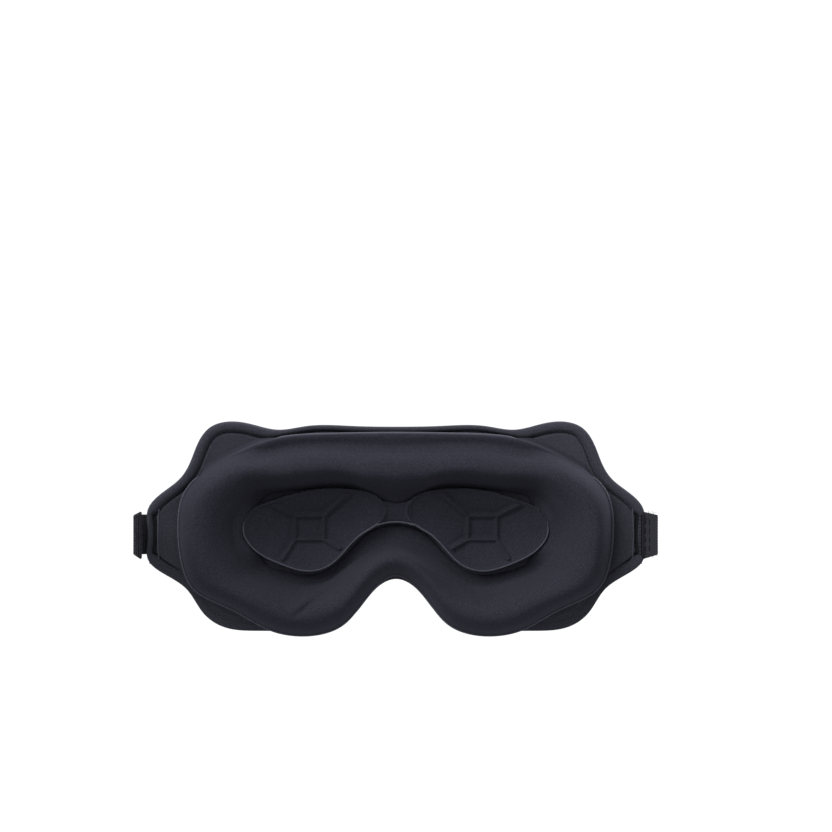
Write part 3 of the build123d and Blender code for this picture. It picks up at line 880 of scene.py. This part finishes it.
def make_straps():
    """Both straps: for each, a root that curves from the mask to its band, a straight band and a tip."""
    origin, run = strap_axes()[:2]
    root = sweep("left_strap_elastic_root", *strap_path())
    band = straight_strap("left_strap_elastic", 0.0, BAND_LENGTH + TIP_GAP)
    tip = straight_strap("left_strap_elastic_tip", BAND_LENGTH + TIP_GAP, TIP_LENGTH)
    tangent, turned, on_bend = strap_bend()
    bend_start = np.append(on_bend(tangent), 0.0)
    middle = np.append(on_bend((tangent + turned) / 2), 0.0)
    chord = (origin - bend_start) / np.linalg.norm(origin - bend_start)
    start = middle + chord * ((bend_start - middle) @ chord)
    end = middle + chord * ((origin - middle) @ chord)
    for side, word in ((1, "left"), (-1, "right")):
        pieces = [root, band, tip]
        if side < 0:
            pieces = [mirror_piece(piece, piece.name.replace("left", "right")) for piece in pieces]
        for piece, part in zip(pieces, ("root", "band", "tip")):
            piece.data.materials.clear()
            piece.data.materials.append(WEBBING)
            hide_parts(f"{word}_strap_{part}")
        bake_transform(pieces[0], "mask", f"{word}_strap", start=in_frame(start, side), end=in_frame(end, side))
        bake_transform(pieces[1], f"{word}_strap", f"{word}_strap_end", start=in_frame(origin, side),
                 end=in_frame(origin + run * (BAND_LENGTH + TIP_GAP), side))
        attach(pieces[2], f"{word}_strap_end")


# ---- stitching and closure patches ----
TACK_COUNT = 14
TACK_REACH = (0.93, 0.58)  # half of a tack stitch, sideways and upwards
TACK_ARCH = 0.36
FRAYS_PER_EDGE = 7
PATCH_SIZE = (17.0, 43.0)
PATCH_BASE = 0.5  # thickness of a patch's woven base
PATCH_CORNER = 1.2
PATCH_MARGIN = 1.2  # from a patch's edge to its stitches
PATCH_MIDDLE = BAND_LENGTH + TIP_GAP + TIP_LENGTH / 2
PATCH_FACE = STRAP_THICKNESS / 2 + PATCH_BASE
STITCH_PITCH = 3.2
STITCH_ARCH = 0.22
HOOK_PITCH = 1.55
HOOK_RADIUS = 0.26
LOOP_PITCH = 1.0
LOOP_REACH = 0.42


def make_tab_tacks():
    """Slanted tack stitches in a zig-zag on the outer face of each tab."""
    pitch = (STRAP_WIDTH - 2) / TACK_COUNT
    t = np.linspace(-1, 1, 7)
    depth = TACK_RECESS - (FLANGE - 0.4) - TACK_ARCH * (1 - t * t) + 0.15
    paths = []
    for index in range(TACK_COUNT):
        middle = (index + 0.5 - TACK_COUNT / 2) * pitch
        slant = 1 if index % 2 else -1
        paths.append(straight(TACK_X + TACK_REACH[0] * t, depth, middle + slant * TACK_REACH[1] * t))
    finish_pair(strands("left_tab_tacks", paths, 0.24), "tab_stitching", THREAD)


def make_thread_ends():
    """Short frayed ends where the right strap is sewn in, at its top and bottom edges."""
    chance = np.random.default_rng(3)
    t = np.linspace(0, 1, 6)
    paths = []
    for end in (-1, 1):
        for _ in range(FRAYS_PER_EDGE):
            heading = end * chance.uniform(0.3, 1.5)
            length, curl = chance.uniform(1.2, 2.6), chance.uniform(-0.8, 0.8)
            start_x = -(TAB_X + chance.uniform(1.0, 4.5))
            start_z = end * (STRAP_WIDTH / 2 - 0.4)
            turn = heading + curl * t
            x = start_x - length * t * np.cos(turn)
            paths.append(straight(x, -0.3 + 0.8 * t, start_z + length * t * np.sin(turn)))
    finish_piece(strands("right_thread_ends", paths, 0.07, 5), "mask", [], THREAD)


def on_strap(along, across, off):
    """A point of the left strap: along it, across its width and off its middle, outwards."""
    origin, run, normal, width = strap_axes()
    return origin + run * along + width * across + normal * off


def patch_grid(pitch, margin=0.7):
    """Rows of evenly spaced places on a patch, along and across."""
    half_width, half_length = PATCH_SIZE[0] / 2 - margin, PATCH_SIZE[1] / 2 - margin
    rows = np.linspace(-half_length, half_length, int(2 * half_length / pitch) + 1)
    columns = np.linspace(-half_width, half_width, int(2 * half_width / pitch) + 1)
    return [(row, column) for row in rows for column in columns]


def join(pieces, name):
    """One piece from several."""
    work = bmesh.new()
    for piece in pieces:
        work.from_mesh(piece.data)
        bpy.data.objects.remove(piece)
    mesh = bpy.data.meshes.new(name)
    work.to_mesh(mesh)
    work.free()
    return show(name, mesh)


def patch_base(name, side):
    """The woven base of a patch, with rounded corners and edges."""
    half_width, half_length = PATCH_SIZE[0] / 2 - PATCH_CORNER, PATCH_SIZE[1] / 2 - PATCH_CORNER
    rows = []
    for inset, off in ((0.5, 0.0), (0.0, 0.1), (0.0, 0.35), (0.2, PATCH_BASE), (0.9, PATCH_BASE)):
        loop = []
        for corner, (end, edge) in enumerate(((1, 1), (-1, 1), (-1, -1), (1, -1))):
            for turn in np.linspace(0, pi / 2, 6):
                angle = corner * pi / 2 + turn
                along = end * half_length + (PATCH_CORNER - inset) * cos(angle)
                across = edge * half_width + (PATCH_CORNER - inset) * sin(angle)
                loop.append(on_strap(PATCH_MIDDLE + along, across, side * (STRAP_THICKNESS / 2 + off)))
        rows.append(loop)
    return loft(name, in_metres(rows), closed=False)


def pile_loops():
    """Small loops that stand on the outer face, each at a chance place, heading and height."""
    chance = np.random.default_rng(5)
    paths = []
    for row, column in patch_grid(LOOP_PITCH):
        row, column = row + chance.uniform(-0.4, 0.4), column + chance.uniform(-0.4, 0.4)
        heading, height = chance.uniform(0, 2 * pi), chance.uniform(0.5, 0.8)
        path = []
        for t in np.linspace(0, pi, 6):
            reach = LOOP_REACH * cos(t)
            path.append(on_strap(PATCH_MIDDLE + row + reach * cos(heading), column + reach * sin(heading),
                                 PATCH_FACE - 0.1 + height * sin(t)))
        paths.append(path)
    return paths


def hook_rows():
    """Small hooks in rows on the inner face: a short stem and a bent tip."""
    paths = []
    for row, column in patch_grid(HOOK_PITCH):
        path = [on_strap(PATCH_MIDDLE + row, column, -PATCH_FACE + 0.1)]
        for t in np.linspace(0, 0.85 * pi, 6):
            path.append(on_strap(PATCH_MIDDLE + row + HOOK_RADIUS * (1 - cos(t)), column,
                                 -PATCH_FACE - 0.5 - HOOK_RADIUS * sin(t)))
        paths.append(path)
    return paths


def patch_stitches(side):
    """A rectangle of arched stitches on the strap's plain face, behind a patch."""
    half_width, half_length = PATCH_SIZE[0] / 2 - PATCH_MARGIN, PATCH_SIZE[1] / 2 - PATCH_MARGIN
    corners = np.array([(-half_length, -half_width), (half_length, -half_width), (half_length, half_width),
                        (-half_length, half_width)])
    paths = []
    for a, b in zip(corners, np.roll(corners, -1, axis=0)):
        count = int(np.linalg.norm(b - a) / STITCH_PITCH)
        step = (b - a) / count
        for index in range(count):
            path = []
            for t in np.linspace(-1, 1, 5):
                along, across = a + step * (index + 0.5 + 0.38 * t)
                off = STRAP_THICKNESS / 2 - 0.05 + STITCH_ARCH * (1 - t * t)
                path.append(on_strap(PATCH_MIDDLE + along, across, side * off))
            paths.append(path)
    return paths


def make_patches():
    """Loops on the left strap's outer face and hooks on the right strap's inner face."""
    loops = join([patch_base("loop_base", 1), strands("loops", pile_loops(), 0.07, 4)], "loop_pile_patch")
    hooks = join([patch_base("hook_base", -1), strands("hooks", hook_rows(), 0.12, 5)], "hook_patch_left")
    hooks = move_right(hooks, "hook_row_patch")
    finish_piece(loops, "left_strap_end", ["loop_patch"], LOOP_PILE)
    finish_piece(hooks, "right_strap_end", ["hook_patch"], HOOK_PLASTIC)
    threads = strands("loop_patch_threads", patch_stitches(-1), 0.22)
    finish_piece(threads, "left_strap_end", ["loop_patch_stitching"], THREAD)
    threads = move_right(strands("hook_patch_threads", patch_stitches(1), 0.22), "hook_patch_thread_row")
    finish_piece(threads, "right_strap_end", ["hook_patch_stitching"], THREAD)


# ---- stage ----
FLOOR_DROP = 0.30  # from the part's lowest point to the floor, in metres
STAGE_REACH = 3.0
STAGE_BEND = 1.0
STAGE_SIDES = 96
STAGE_TONE = 0.05
STAGE_GLOW = 1.0


def make_stage():
    """A floor that curves up into a round wall, in a white that glows and neither lights nor shades."""
    material = bpy.data.materials.new("stage_white")
    material.use_nodes = True
    shader = material.node_tree.nodes["Principled BSDF"]
    set_inputs(shader, {"Base Color": (STAGE_TONE, STAGE_TONE, STAGE_TONE, 1), "Roughness": 1.0,
                        "Specular IOR Level": 0.0, "Emission Color": (1, 1, 1, 1),
                        "Emission Strength": STAGE_GLOW})
    floor_z = cad_bounds[0].z - FLOOR_DROP
    profile = [(STAGE_REACH * share, 0.0) for share in (0.1, 0.35, 0.6)]
    for angle in np.linspace(0, pi / 2, 16):
        profile.append((STAGE_REACH + STAGE_BEND * (sin(angle) - 1), STAGE_BEND * (1 - cos(angle))))
    profile += [(STAGE_REACH, 2.2), (STAGE_REACH, 3.4)]
    angles = np.linspace(0, 2 * pi, STAGE_SIDES, endpoint=False)
    rows = []
    for radius, height in profile:
        level = np.full(STAGE_SIDES, floor_z + height)
        rows.append(np.stack([radius * np.cos(angles), radius * np.sin(angles), level], axis=1))
    faces = loop_faces(len(rows), STAGE_SIDES, False) + [tuple(range(STAGE_SIDES))]
    stage = make_object("studio_floor", np.array(rows), faces)
    stage.data.materials.append(material)
    stage.visible_shadow = False
    stage.visible_diffuse = False
    stage.visible_glossy = False


def area_light(name, position, target, size, power):
    """A round soft lamp that faces its target; position and size in metres, power in watts."""
    data = bpy.data.lights.new(name, "AREA")
    data.shape = "DISK"
    data.size = size
    data.energy = power
    light = show(name, data)
    light.location = position
    light.rotation_euler = (Vector(target) - Vector(position)).to_track_quat("-Z", "Y").to_euler()


SKY_LOW = 0.54  # strength of the world's light from below
SKY_HIGH = 0.82  # and from above


def make_lights():
    """Soft light that grows upwards, and one large lamp on each side of the mask."""
    world = bpy.data.worlds.new("studio")
    world.use_nodes = True
    nodes, links = world.node_tree.nodes, world.node_tree.links
    height = nodes.new("ShaderNodeSeparateXYZ")
    links.new(nodes.new("ShaderNodeTexCoord").outputs["Generated"], height.inputs[0])
    sky = nodes.new("ShaderNodeMapRange")
    set_inputs(sky, {"From Min": -1.0, "To Min": SKY_LOW, "To Max": SKY_HIGH})
    links.new(height.outputs["Z"], sky.inputs["Value"])
    links.new(sky.outputs["Result"], nodes["Background"].inputs["Strength"])
    nodes["Background"].inputs["Color"].default_value = (0.96, 0.97, 1, 1)
    bpy.context.scene.world = world
    middle = (0, 0, TAB_Z * MM)
    area_light("face_key", (0.78, 0.88, 1.12), middle, 1.5, 25)
    area_light("front_key", (-1.15, -0.62, 0.95), middle, 1.2, 30)


CAMERA_DISTANCE = 0.97
CAMERA_LENS = 86.2


def make_camera():
    """Square to the face side, a little above the mask, as in the product picture."""
    data = bpy.data.cameras.new("camera")
    data.lens = CAMERA_LENS
    data.sensor_width = 36.0
    camera = show("camera", data)
    camera.location = (-0.0097, CAMERA_DISTANCE, TAB_Z * MM + 0.0565)
    camera.rotation_euler = (pi / 2, 0, pi)
    bpy.context.scene.camera = camera


make_camera()
make_stage()
make_lights()
make_edge_rim()
make_inner_panel()
make_outer_cover()
make_cushion()
make_cups()
make_bridge()
make_tab_edges()
make_straps()
make_tab_tacks()
make_thread_ends()
make_patches()
bpy.context.scene.view_settings.view_transform = "Standard"
